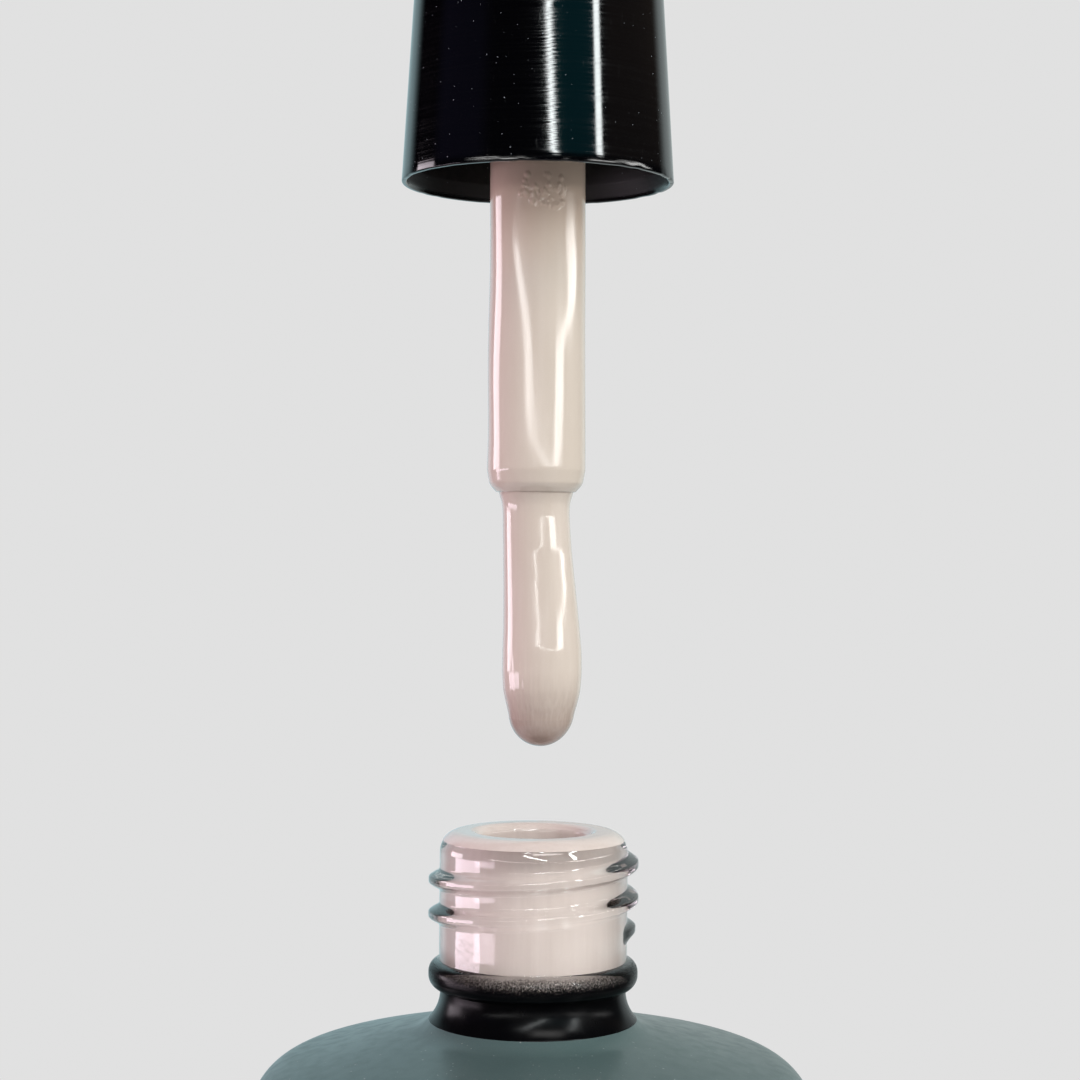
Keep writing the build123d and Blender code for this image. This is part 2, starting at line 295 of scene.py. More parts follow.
def bump(tree, shader, height, depth):
    """Bump, with the height field's full swing worth depth mm."""
    made = node(tree, "ShaderNodeBump", {"Height": height, "Strength": 1.0, "Distance": depth * MM})
    tree.links.new(made.outputs["Normal"], shader.inputs["Normal"])


# ------------------------------------------------------------------ materials

GEL_ROUGHNESS = (0.07, 0.12)
# Pale flecks painted into the gel's colour as the glints of its pearl: painted highlights.
PEARL_GLINT = (0.95, 0.90, 0.88, 1)
PEARL_GLINT_SHARE = 0.12


def gel_material(name, light, dark, combed):
    """Wet pearly gel: soft cloudy colour, streaks with a combed share, pale flecks painted in as
    the pearl's glints, and a liquid gloss.
    """
    values = {"IOR": 1.52, "Coat Weight": 0.25, "Coat Roughness": 0.03}
    material, tree, shader = new_material(name, values)
    cloud = noise(tree, stretched(tree, 0.35, 0.35, 0.12), 3.0)
    streak = noise(tree, stretched(tree, 3.2, 3.2, 0.14), 3.0, 0.6)
    pearl = noise(tree, stretched(tree, 22, 22, 22), 1.0)
    clouded = calc(tree, "MULTIPLY", cloud, 1.0 - combed)
    blend = calc(tree, "MULTIPLY_ADD", streak, combed, clouded)
    colour = tint(tree, ramp(tree, blend, 0.22, 0.78), dark, light)
    # Painted pearl glints: pale flecks mixed into the base colour.
    painted_pearl_glint = ramp(tree, pearl, 0.60, 0.78, 0.0, PEARL_GLINT_SHARE)
    tree.links.new(tint(tree, painted_pearl_glint, colour, PEARL_GLINT), shader.inputs["Base Color"])
    tree.links.new(ramp(tree, streak, 0.3, 0.8, *GEL_ROUGHNESS), shader.inputs["Roughness"])
    bump(tree, shader, streak, 0.0004)
    return material


# Browner gel under the cap's rim: painted shade cast by the cap.
UNDER_RIM_SHADE_GEL = (0.66, 0.51, 0.42, 1)
UNDER_RIM_SHADE_FROM = CAP_LOW - 5.4
UNDER_RIM_SHADE_FULL = CAP_LOW + 1.0


def stem_gel_material():
    """Gel on the wand, browner towards the cap's rim as painted shade from the cap."""
    material = gel_material("gel_on_stem", (0.64, 0.545, 0.48, 1), (0.60, 0.505, 0.435, 1), 0.25)
    tree = material.node_tree
    shader = tree.nodes["Principled BSDF"]
    plain = shader.inputs["Base Color"].links[0].from_socket
    wander = noise(tree, stretched(tree, 0.5, 0.5, 0.2), 2.0)
    level = calc(tree, "MULTIPLY_ADD", wander, 3.0 * MM, object_height(tree))
    # The zone under the cap's rim gets the browner colour: painted shade from the cap, with a
    # wandering edge.
    wiped = ramp(tree, level, UNDER_RIM_SHADE_FROM * MM, UNDER_RIM_SHADE_FULL * MM)
    tree.links.new(tint(tree, wiped, plain, UNDER_RIM_SHADE_GEL), shader.inputs["Base Color"])
    return material


# Darker brown towards the brush's tip is painted shade on its down-facing nose.
TIP_SHADE_BROWN = (0.24, 0.155, 0.13, 1)
TIP_SHADE_SHARE = 0.75
TIP_FROM = BRUSH_TIP + 5.6
TIP_FULL = BRUSH_TIP + 0.6


def brush_gel_material():
    """Gel on the bristles, darker brown towards the down-facing tip as painted shade, streaked
    lengthwise.
    """
    material = gel_material("gel_on_brush", (0.65, 0.555, 0.495, 1), (0.605, 0.505, 0.44, 1), 0.35)
    tree = material.node_tree
    shader = tree.nodes["Principled BSDF"]
    plain = shader.inputs["Base Color"].links[0].from_socket
    hair = noise(tree, stretched(tree, 6.0, 6.0, 0.25), 2.0)
    level = calc(tree, "MULTIPLY_ADD", hair, 1.4 * MM, object_height(tree))
    # Painted shade towards the tip, streaked lengthwise.
    tip = ramp(tree, level, TIP_FROM * MM, TIP_FULL * MM, 0.0, TIP_SHADE_SHARE)
    tree.links.new(tint(tree, tip, plain, TIP_SHADE_BROWN), shader.inputs["Base Color"])
    return material


GLASS_IOR = 1.67             # over real glass, so that the gel in the bore seems to fill the neck


def glass_material():
    """Clear polished bottle glass."""
    clear = (0.985, 0.995, 0.99, 1)
    values = {"Base Color": clear, "Transmission Weight": 1.0, "IOR": GLASS_IOR}
    material, tree, shader = new_material("neck_glass", values)
    wavy = noise(tree, stretched(tree, 0.9, 0.9, 0.9), 2.0)
    tree.links.new(ramp(tree, wavy, 0.3, 0.8, 0.0, 0.02), shader.inputs["Roughness"])
    bump(tree, shader, wavy, 0.012)
    return material


BAND_BLACK = (0.0015, 0.0015, 0.002, 1)
SPRAY_FADES = LIP - 7.55
SPRAY_COVERS = LIP - 8.95


def neck_lacquer_material():
    """Satin black band on the lower neck, thinning out over the bead as a fine overspray."""
    values = {"Base Color": BAND_BLACK, "Specular IOR Level": 0.12}
    material, tree, shader = new_material("neck_black_band", values)
    grain = noise(tree, stretched(tree, 9, 9, 9), 2.0, 0.7)
    drift = noise(tree, stretched(tree, 0.35, 0.35, 0.8), 2.0)
    level = calc(tree, "MULTIPLY_ADD", drift, 0.4 * MM, object_height(tree))
    cover = ramp(tree, level, SPRAY_FADES * MM, SPRAY_COVERS * MM, -0.05, 1.35, kind="LINEAR")
    speckle = calc(tree, "MULTIPLY_ADD", grain, 1.5, -0.75)
    thin = ramp(tree, cover, 0.0, 0.30)
    alpha = calc(tree, "MULTIPLY", thin, calc(tree, "ADD", cover, speckle), clamp=True)
    tree.links.new(alpha, shader.inputs["Alpha"])
    smudge = noise(tree, stretched(tree, 0.9, 0.9, 0.9), 3.0)
    tree.links.new(ramp(tree, smudge, 0.3, 0.75, 0.20, 0.28), shader.inputs["Roughness"])
    bump(tree, shader, grain, 0.001)
    return material


# The grey-green body colour is a painted reflection of grey-green studio light on the gloss
# lacquer.
BODY_REFLECTION_TINT = (0.068, 0.106, 0.105, 1)
BODY_REFLECTION_TINT_DARK = (0.060, 0.095, 0.094, 1)
BODY_FLECK = (0.16, 0.20, 0.20, 1)
BODY_DUST = (0.45, 0.47, 0.46, 1)


def body_lacquer_material():
    """Lacquer coloured dark grey-green as a painted reflection, with a soft gloss, orange peel and
    a little dust in it.
    """
    values = {"IOR": 1.5, "Specular IOR Level": 0.4, "Coat Weight": 0.08, "Coat Roughness": 0.12}
    material, tree, shader = new_material("lacquer_painted_grey_green", values)
    cloud = noise(tree, stretched(tree, 0.12, 0.12, 0.12), 2.0)
    fleck = noise(tree, stretched(tree, 11, 11, 11), 1.0)
    speck = ramp(tree, noise(tree, stretched(tree, 6, 6, 6), 0.0), 0.82, 0.85)
    # Grey-green colour: painted reflection, clouded a little.
    colour = tint(tree, ramp(tree, cloud, 0.35, 0.65), BODY_REFLECTION_TINT_DARK, BODY_REFLECTION_TINT)
    colour = tint(tree, ramp(tree, fleck, 0.45, 0.75, 0.0, 0.10), colour, BODY_FLECK)
    colour = tint(tree, calc(tree, "MULTIPLY", speck, 0.55), colour, BODY_DUST)
    tree.links.new(colour, shader.inputs["Base Color"])
    orange_peel = noise(tree, stretched(tree, 1.1, 1.1, 1.1), 2.0)
    rough = calc(tree, "MULTIPLY_ADD", speck, 0.35, ramp(tree, orange_peel, 0.3, 0.8, 0.28, 0.38))
    tree.links.new(rough, shader.inputs["Roughness"])
    bump(tree, shader, calc(tree, "MULTIPLY_ADD", speck, 2.0, orange_peel), 0.004)
    return material


CAP_BLACK = (0.001, 0.001, 0.0015, 1)
CAP_DUST = (0.22, 0.24, 0.27, 1)
CAP_INSIDE_DULL = 0.45       # roughness added on the cap's inside


def cap_material():
    """Polished black cap, duller inside, with fine turned lines, hairline scratches and dust."""
    material, tree, shader = new_material("cap_gloss", {"IOR": 1.52})
    # Distance from the axis with the taper taken out, which is the same all over the outer wall.
    onto_plan = {0: object_position(tree), 1: (1, 1, 0)}
    flat = node(tree, "ShaderNodeVectorMath", onto_plan, operation="MULTIPLY").outputs[0]
    radius = node(tree, "ShaderNodeVectorMath", {0: flat}, operation="LENGTH").outputs["Value"]
    untapered = calc(tree, "MULTIPLY_ADD", object_height(tree), CAP_TAPER, radius)
    wall = (CAP_RIM_R + CAP_TAPER * CAP_LOW) * MM
    inside = ramp(tree, untapered, wall - 0.30 * MM, wall - 0.45 * MM, 0.0, CAP_INSIDE_DULL)
    lines = noise(tree, stretched(tree, 0.10, 0.10, 9.0), 3.0, 0.65)
    hair = noise(tree, stretched(tree, 7.0, 7.0, 0.35), 2.0, 0.7)
    scuff = ramp(tree, hair, 0.66, 0.74)
    dust = ramp(tree, noise(tree, stretched(tree, 7.5, 7.5, 7.5), 0.0), 0.85, 0.88)
    tree.links.new(tint(tree, dust, CAP_BLACK, CAP_DUST), shader.inputs["Base Color"])
    rough = calc(tree, "MULTIPLY_ADD", scuff, 0.10, ramp(tree, lines, 0.3, 0.75, 0.04, 0.12))
    rough = calc(tree, "ADD", rough, inside)
    tree.links.new(calc(tree, "MULTIPLY_ADD", dust, 0.5, rough), shader.inputs["Roughness"])
    bump(tree, shader, calc(tree, "MULTIPLY_ADD", dust, 3.0, lines), 0.003)
    return material


def moulded_material(name, colour, worn, rough, grain, depth):
    """Plain moulded plastic or rubber: faint cloudy colour, uneven gloss and a fine grain."""
    material, tree, shader = new_material(name, {"IOR": 1.5})
    cloud = noise(tree, stretched(tree, 0.4, 0.4, 0.4), 3.0)
    fine = noise(tree, stretched(tree, grain, grain, grain), 3.0, 0.6)
    mixed = tint(tree, ramp(tree, cloud, 0.35, 0.7), colour, worn)
    tree.links.new(mixed, shader.inputs["Base Color"])
    tree.links.new(ramp(tree, fine, 0.3, 0.75, rough, rough + 0.15), shader.inputs["Roughness"])
    bump(tree, shader, fine, depth)
    return material


BRASS = (0.80, 0.62, 0.30, 1)
BRASS_DARK = (0.62, 0.42, 0.16, 1)


def brass_material():
    """Drawn brass wire with fine die lines along it."""
    material, tree, shader = new_material("drawn_brass", {"Metallic": 1.0})
    lines = noise(tree, stretched(tree, 0.4, 18, 18), 2.0)
    colour = tint(tree, ramp(tree, lines, 0.3, 0.7), BRASS_DARK, BRASS)
    tree.links.new(colour, shader.inputs["Base Color"])
    tree.links.new(ramp(tree, lines, 0.3, 0.7, 0.22, 0.38), shader.inputs["Roughness"])
    bump(tree, shader, lines, 0.004)
    return material


NYLON = (0.68, 0.60, 0.53, 1)
NYLON_DARK = (0.50, 0.40, 0.34, 1)


def nylon_material():
    """Gel-wetted nylon filaments."""
    material, tree, shader = new_material("nylon_filament", {"IOR": 1.53, "Coat Weight": 0.4})
    length = noise(tree, stretched(tree, 2.5, 2.5, 0.3), 2.0)
    colour = tint(tree, ramp(tree, length, 0.3, 0.7), NYLON_DARK, NYLON)
    tree.links.new(colour, shader.inputs["Base Color"])
    tree.links.new(ramp(tree, length, 0.3, 0.7, 0.18, 0.34), shader.inputs["Roughness"])
    bump(tree, shader, length, 0.004)
    return material


# ------------------------------------------------------------------ bottle

def shoulder_height(radius, depth):
    """Height of the sloping shoulder, depth under its finished surface."""
    slope_fall = (radius - SHOULDER_AT_R) * math.tan(SHOULDER_SLOPE)
    return SHOULDER_Z - (slope_fall + depth / math.cos(SHOULDER_SLOPE))


def body_line(depth):
    """Corners from the foot up to the lower neck, depth under the finished surface."""
    neck_r = LOWER_NECK_R - depth
    wall_r = BODY_R - depth
    return [
        (FOOT_OUTER_R, BASE_Z + depth, 0),
        (wall_r, BASE_Z + depth, BASE_ROUND - depth),
        (wall_r, shoulder_height(wall_r, depth), SHOULDER_ROUND - depth),
        (neck_r, shoulder_height(neck_r, depth), NECK_FILLET + depth),
        (neck_r, BEAD_Z - BEAD_ROUND - BEAD_FLAT, 0),
    ]


def bead_line(proud, down_to, up_to):
    """Outline of the bead from its lower to its upper side, between two radii."""
    points = []
    for degrees in range(-88, 89, 4):
        turn = math.radians(degrees)
        radius = BEAD_R - BEAD_ROUND + (BEAD_ROUND + proud) * math.cos(turn)
        flat = math.copysign(BEAD_FLAT, degrees)
        height = BEAD_Z + flat + (BEAD_ROUND + proud) * math.sin(turn)
        if radius > (down_to if degrees < 0 else up_to):
            points.append((radius, height))
    return points


def thread_relief(radius, height, angle):
    """Height of the screw thread over the neck wall."""
    degrees = np.degrees(angle)
    ridge = np.zeros_like(radius)
    for turns in range(THREAD_TURNS):
        along = degrees - 360 * turns
        centre = THREAD_TOP + PITCH * along / 360
        away = np.abs(height - centre)
        shape = 1 - smooth(away, THREAD_HALF_CREST, THREAD_HALF_BASE)
        ends = smooth(along, THREAD_LOW_DEG, THREAD_LOW_DEG + THREAD_FADE_DEG)
        ends = ends * (1 - smooth(along, THREAD_HIGH_DEG - THREAD_FADE_DEG, THREAD_HIGH_DEG))
        ridge = np.maximum(ridge, THREAD_H * shape * ends)
    return ridge


SEAM_Z = LIP - 0.47          # parting line of the glass mould, under the lip
SEAM_H = 0.045
SEAM_HALF = 0.07
FINE_FROM = LIP - 9.5        # the glass has its fine mesh from here up


def glass_relief(radius, height, angle):
    """Thread, parting line under the lip and slight waviness of the moulded neck."""
    outside = (radius > BORE_R + 1.0) & (height > BEAD_TOP - 0.05)
    seam_z = SEAM_Z + 0.03 * waves(angle, height, 5, 5, 4, 0.0)
    seam = SEAM_H * np.exp(-((height - seam_z) / SEAM_HALF) ** 2)
    wave = 0.008 * waves(angle, height, 11, 9, 5, 0.9)
    raised = thread_relief(radius, height, angle) + seam + wave
    return radius + np.where(outside, raised, 0), height


def make_glass():
    """Clear glass bottle with its thread, bead, lip and hollow."""
    foot = [
        (0, PUSH_UP_Z, 0),
        (FOOT_INNER_R - 0.6, PUSH_UP_Z - 0.3, 0.3),
        (FOOT_INNER_R, 0, 0.2),
        (FOOT_OUTER_R - 0.15, 0, 0.2),
    ]
    inner_wall_r = BODY_R - WALL
    inside = [
        (NECK_R, BEAD_TOP - 0.01, 0),
        (NECK_R, LIP, LIP_ROUND),
        (BORE_R, LIP, MOUTH_ROUND),
        (BORE_R, shoulder_height(BORE_R, WALL), NECK_FILLET + WALL),
        (inner_wall_r, shoulder_height(inner_wall_r, WALL), SHOULDER_ROUND - WALL),
        (inner_wall_r, FLOOR_Z, 2.5),
        (0, FLOOR_Z, 0),
    ]
    lower = divided(rounded(foot + body_line(LACQUER_T), 0.25), 0.8)
    bead = bead_line(0, LOWER_NECK_R - LACQUER_T, NECK_R)
    upper = rounded(inside, 0.07)
    neck = [point for point in upper if point[1] > FINE_FROM]
    rest = [point for point in upper if point[1] <= FINE_FROM]
    outline = lower + bead + divided(neck, 0.06) + divided([neck[-1]] + rest, 0.8)[1:]
    piece = revolved("bottle_clear_glass", outline, segments=360, relief=glass_relief, sharp=60)
    piece.visible_shadow = False
    return place(piece, "bottle", "clear_glass", glass_material(), "bottle_glass")


BAND_LOW_R = 6.45            # the black band ends here, low on the neck's fillet
OVERSPRAY_TOP = LIP - 6.7
OVERSPRAY_PROUD = 0.03
OVERSPRAY_CLEAR = 0.012      # air between the band and the glass of the bead and neck
LACQUER_UNDERSIDE = LACQUER_T - 0.01
DISC_INSET = 1.0
DISC_EDGE_FALL = 0.3         # how much lower the recess is at its edge than in its middle


def lacquered_lines(depth):
    """Lacquered outline from the foot to under the bead, parted at the black band's lower edge."""
    line = divided(rounded(body_line(depth), 0.08), 0.5)
    split = next(index for index, point in enumerate(line) if point[0] < BAND_LOW_R)
    return line[:split + 1], line[split:]


def band_line(depth, proud):
    """Outline of the black band from the neck's fillet to over the bead."""
    bead = bead_line(proud, LOWER_NECK_R - depth, NECK_R + proud)
    line = divided(lacquered_lines(depth)[1] + bead, 0.1)
    return line + divided([(NECK_R + proud, BEAD_TOP), (NECK_R + proud, OVERSPRAY_TOP)], 0.06)


def make_band():
    """Black band on the lower neck, sprayed up over the bead."""
    outline = band_line(0, OVERSPRAY_PROUD) + band_line(LACQUER_UNDERSIDE, OVERSPRAY_CLEAR)[::-1]
    piece = revolved("neck_black_band", outline, segments=288, looped=True, sharp=60)
    return place(piece, "bottle", "sprayed_lacquer", neck_lacquer_material(), "bottle_lacquer")


def make_body_lacquer():
    """Lacquer on the shoulder, wall and heel, and a disc of it under the base."""
    material = body_lacquer_material()
    outline = lacquered_lines(0)[0] + lacquered_lines(LACQUER_UNDERSIDE)[0][::-1]
    shell = revolved("body_lacquer_coat", outline, segments=288, looped=True, sharp=60)
    place(shell, "bottle", "sprayed_lacquer", material, "bottle_lacquer")
    disc_r = FOOT_INNER_R - DISC_INSET
    disc_z = PUSH_UP_Z - DISC_EDGE_FALL
    recess = [
        (0, PUSH_UP_Z - GAP, 0),
        (disc_r, disc_z - GAP, 0),
        (disc_r, disc_z - LACQUER_T, 0.04),
        (0, PUSH_UP_Z - LACQUER_T, 0),
    ]
    disc = revolved("base_recess_lacquer", divided(rounded(recess, 0.05), 0.8), segments=144)
    return place(disc, "bottle", "sprayed_lacquer", material, "bottle_lacquer")


WETTING = 0.02               # how far the gel and the glass it wets share their space
FILM_PROUD = 0.04
FILM_OVER_LIP = 0.55         # how far the gel runs down over the lip's outside
FILM_LOW = LIP - 12.0
FILM_THIN_BELOW, FILM_FULL_ABOVE = LIP - 11.6, LIP - 10.4
FILM_MEAN_T = 0.075
FILM_LEAST_T, FILM_MOST_T = 0.015, 0.17
FILM_CORNER = 0.07           # how far the outline stands into the bore before its relief


def film_relief(radius, height, angle):
    """Uneven inside of the film and its ragged spread over the mouth."""
    inside = radius < BORE_R
    thick = FILM_MEAN_T + 0.05 * waves(angle, height, 21, 10, 6, 0.9)
    thick = thick + 0.03 * waves(angle, height, 22, 8, 16, 0.25)
    thick = np.clip(thick, FILM_LEAST_T, FILM_MOST_T)
    low_edge = 1 - smooth(height, FILM_THIN_BELOW, FILM_FULL_ABOVE)
    radius = np.where(inside, radius - thick * (1 - 0.8 * low_edge), radius)
    over = smooth(height, LIP - 0.30, LIP - 0.02)
    return radius + over * 0.012 * waves(angle, 0 * height, 23, 7, 5, 0.0), height


def make_film():
    """Gel wiped off the brush, lining the bore and lying over the lip to the parting line."""
    bore_r = BORE_R + WETTING
    film_r = BORE_R - FILM_CORNER
    drawn_to = LIP - 1.5
    outer = [
        (bore_r, FILM_LOW, 0),
        (bore_r, LIP - WETTING, MOUTH_ROUND),
        (NECK_R - WETTING, LIP - WETTING, LIP_ROUND - WETTING),
        (NECK_R - WETTING, drawn_to, 0),
    ]
    inner = [
        (NECK_R + FILM_PROUD, drawn_to, 0),
        (NECK_R + FILM_PROUD, LIP + FILM_PROUD, LIP_ROUND + FILM_PROUD),
        (film_r, LIP + FILM_PROUD, MOUTH_ROUND + 0.1),
        (film_r, FILM_LOW, 0),
    ]
    line = divided(rounded(outer, 0.06), 0.12) + divided(rounded(inner, 0.06), 0.12)
    ends_at = LIP - FILM_OVER_LIP
    outline = [point for point in line if point[0] < BORE_R + 1 or point[1] > ends_at]
    piece = revolved(
        "neck_gel_smear", outline, segments=300, relief=film_relief, looped=True, sharp=70
    )
    material = gel_material("gel_in_neck", (0.66, 0.565, 0.525, 1), (0.58, 0.485, 0.445, 1), 0.4)
    return place(piece, "bottle", "gel_film", material, "neck_gel_film")


# ------------------------------------------------------------------ cap

def cap_radius(height):
    """Outside radius of the cap."""
    return CAP_RIM_R - CAP_TAPER * (height - CAP_LOW)


def cap_relief(radius, height, angle):
    """Slightly nicked rim."""
    near_rim = np.exp(-((height - CAP_LOW) / 0.22) ** 2)
    fine = waves(angle, 0 * height, 31, 14, 40, 0.0)
    slow = waves(angle, 0 * height, 32, 8, 9, 0.0)
    nick = 0.020 * fine + 0.012 * slow
    inward = smooth(cap_radius(height) - radius, 0.0, CAP_WALL)
    lift = np.clip(nick, 0.0, 0.06) * near_rim
    return radius - 0.25 * lift * (1 - 2 * inward), height + lift


def make_cap():
    """Tapered gloss cap, a thin shell with fins inside."""
    side_top = CAP_HIGH - CAP_DOME
    roof = side_top - CAP_TOP_T
    corners = [
        (0, CAP_HIGH, 0),
        (cap_radius(side_top), side_top, CAP_TOP_ROUND),
        (CAP_RIM_R, CAP_LOW, CAP_RIM_ROUND),
        (CAP_RIM_R - CAP_RIM_LAND, CAP_LOW, CAP_RIM_ROUND),
        (CAP_RIM_R - CAP_WALL, CAP_LOW + CAP_BEVEL_H, CAP_BEVEL_ROUND),
        (cap_radius(roof) - CAP_WALL, roof, 0.3),
        (0, roof, 0),
    ]
    outline = divided(rounded(corners, 0.06), 0.5)
    piece = revolved("outer_cap_shell", outline, segments=384, relief=cap_relief, sharp=60)
    add_fins(piece, roof)
    return place(piece, "cap", "cap_gloss_black", cap_material(), "outer_cap")


FIN_COUNT = 6
FIN_INNER_R = 4.2
FIN_HALF_T = 0.4
FIN_INTO_WALL = 0.3
FIN_INTO_ROOF = 0.2
INNER_CAP_ROOF_T = 1.0
CLEARANCE = 0.05             # between the slip ring, the inner cap's roof and the fins


def add_fins(piece, roof):
    """Radial plates inside the cap, down to the inner cap's roof."""
    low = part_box("slip_ring")[1].z / MM + CLEARANCE + INNER_CAP_ROOF_T + CLEARANCE
    high = roof + FIN_INTO_ROOF
    outer_top = cap_radius(roof) - CAP_WALL + FIN_INTO_WALL
    outer_low = cap_radius(low) - CAP_WALL + FIN_INTO_WALL
    ring = [(FIN_INNER_R, low), (outer_low, low), (outer_top, high), (FIN_INNER_R, high)]
    build = bmesh.new()
    build.from_mesh(piece.data)
    for index in range(FIN_COUNT):
        turn = FULL_TURN / FIN_COUNT * index
        sides = []
        for side in (-FIN_HALF_T, FIN_HALF_T):
            corner = []
            for radius, height in ring:
                x = radius * math.cos(turn) - side * math.sin(turn)
                y = radius * math.sin(turn) + side * math.cos(turn)
                corner.append(build.verts.new((x * MM, y * MM, height * MM)))
            sides.append(corner)
        faces = [build.faces.new(sides[0]), build.faces.new(sides[1][::-1])]
        for start in range(len(ring)):
            end = (start + 1) % len(ring)
            edge = (sides[0][end], sides[0][start], sides[1][start], sides[1][end])
            faces.append(build.faces.new(edge))
        bmesh.ops.recalc_face_normals(build, faces=faces)
    build.to_mesh(piece.data)
    build.free()


# ------------------------------------------------------------------ brush

BUBBLE_SEED = 7
BUBBLE_COUNT = 46
BUBBLE_LOW = CAP_LOW - 1.75
BUBBLE_HIGH = CAP_LOW + 0.3
BUBBLE_DEG = (-20, 32)       # spread round the wand from its front, positive to the right
BUBBLE_R = (0.09, 0.21)
BUBBLE_PROUD = 0.38          # height of a bubble as a share of its radius
STEM_GEL_SUNK = 0.03         # how far the gel's runs are sunk, and the most that they rise


def bubble_relief(radius, height, angle):
    """Small bubbles in the gel where it was wiped up under the cap."""
    random = np.random.default_rng(BUBBLE_SEED)
    raised = np.zeros_like(radius)
    front = (angle + math.pi / 2 + math.pi) % FULL_TURN - math.pi
    for _ in range(BUBBLE_COUNT):
        level = random.uniform(BUBBLE_LOW, BUBBLE_HIGH)
        turn = math.radians(random.uniform(*BUBBLE_DEG))
        size = random.uniform(*BUBBLE_R)
        across = (front - turn) * radius
        share = (across**2 + (height - level) ** 2) / size**2
        dome = BUBBLE_PROUD * size * np.sqrt(np.clip(1 - share, 0, 1))
        raised = np.maximum(raised, dome)
    return raised


def stem_relief(radius, height, angle):
    """Slow runs and sags of the gel on the wand, with bubbles near the cap."""
    outside = smooth(radius, STEM_R + 0.10, STEM_R + 0.26)
    low_part = 1 - smooth(height, STEM_COAT_END + 1.0, STEM_COAT_END + 4.0)
    left = 0.5 - 0.5 * np.cos(angle)
    slow = (0.006 + 0.030 * left**4) * waves(angle, height, 41, 10, 3, 0.75)
    fine = 0.0015 * waves(angle, height, 42, 12, 4, 1.2)
    raised = (slow + fine) * (1 - 0.5 * low_part) - STEM_GEL_SUNK
    bubbles = bubble_relief(radius, height, angle)
    return radius + outside * (np.minimum(raised, STEM_GEL_SUNK) + bubbles), height


def make_stem_gel():
    """Gel coat on the wand, with its rounded step over the bristles."""
    corners = [
        (STEM_R + GAP, STEM_COAT_TOP, 0),
        (STEM_COAT_TOP_R, STEM_COAT_TOP, 0.15),
        (STEM_COAT_END_R - 0.01, STEM_COAT_END + 1.35, 1.2),
        (STEM_COAT_END_R - 0.17, STEM_COAT_END + 0.50, 0.5),
        (WAIST_R + 0.10, STEM_COAT_END, 0.15),
        (SOCKET_R + GAP, STEM_COAT_END, 0),
        (SOCKET_R + GAP, STEM_END - GAP, 0),
        (STEM_R + GAP, STEM_END - GAP, 0.3),
    ]
    closed = rounded(corners, 0.06)
    outline = divided(closed + [closed[0]], 0.09)[:-1]
    piece = revolved(
        "stem_gel_layer", outline, segments=320, relief=stem_relief, looped=True, sharp=70
    )
    return place(piece, "cap", "gel_coat_stem", stem_gel_material(), "stem_gel_coat")


NOSE_R = 2.04
NOSE_LENGTH = 2.2
SOFTENING = 6                # points on each side that the profile is smoothed over
BRUSH_DRIFT = 0.44
NOSE_DRIFT_BACK = 0.08
BRUSH_GEL_SUNK = 0.02
# (height over the brush's tip, radius)
BRUSH_PROFILE = [
    (1.70, 1.985),
    (2.25, 2.11),
    (2.85, 2.27),
    (3.45, 2.40),
    (4.60, 2.485),
    (5.95, 2.465),
    (7.25, 2.385),
    (9.05, 2.285),
    (10.25, 2.22),
    (12.15, 2.13),
    (14.35, 2.08),
    (15.00, 2.12),
    (15.66, 2.34),
]


def brush_relief(radius, height, angle):
    """Fine lengthwise ridges left by the filaments low on the left, and slow waves."""
    outside = smooth(radius, SOCKET_R + 0.1, SOCKET_R + 0.3)
    belly = np.exp(-((height - BRUSH_TIP - 3.4) / 1.7) ** 2)
    combed = waves(angle, height, 51, 16, 46, 0.25)
    slow = waves(angle, height, 52, 8, 3, 0.5)
    left = (0.5 - 0.5 * np.cos(angle)) ** 2
    raised = 0.012 * combed * belly * left + 0.012 * slow - BRUSH_GEL_SUNK
    return radius + outside * raised, height


def brush_bend(height):
    """Sideways drift of the loaded brush."""
    level = height - BRUSH_TIP
    return BRUSH_DRIFT * smooth(level, 15.5, 5.0) - NOSE_DRIFT_BACK * smooth(level, 3.0, 0.0)


def make_brush_gel():
    """Gel round the bristles: slim neck, fuller belly and blunt rounded nose."""
    levels, radii = np.array(BRUSH_PROFILE).T
    above = np.linspace(levels[0], levels[-1], 180)
    plain = np.interp(above, levels, radii)
    window = np.hanning(2 * SOFTENING + 1) / SOFTENING
    soft = np.convolve(np.pad(plain, SOFTENING, mode="edge"), window, mode="valid")
    turns = np.linspace(0, math.acos(1 - levels[0] / NOSE_LENGTH), 40)[:-1]
    nose_z = NOSE_LENGTH * (1 - np.cos(turns))
    nose_r = NOSE_R * np.sin(turns)
    outer = [(r, BRUSH_TIP + z) for r, z in zip([*nose_r, *soft], [*nose_z, *above])]
    hollow = SOCKET_R + GAP
    inner = [
        (hollow, STEM_COAT_END),
        (hollow, TUFT_END + TUFT_ROUND_H),
        (hollow / 2, TUFT_END - GAP),
        (0, TUFT_END - GAP),
    ]
    outline = outer + divided(inner, 0.25)
    piece = revolved(
        "brush_gel_layer", outline, segments=320, relief=brush_relief, bend=brush_bend, sharp=70
    )
    return place(piece, "cap", "gel_coat_brush", brush_gel_material(), "bristle_gel_coat")


# ------------------------------------------------------------------ everything that is shown

make_glass()
make_band()
make_body_lacquer()
make_film()
make_cap()
make_stem_gel()
make_brush_gel()

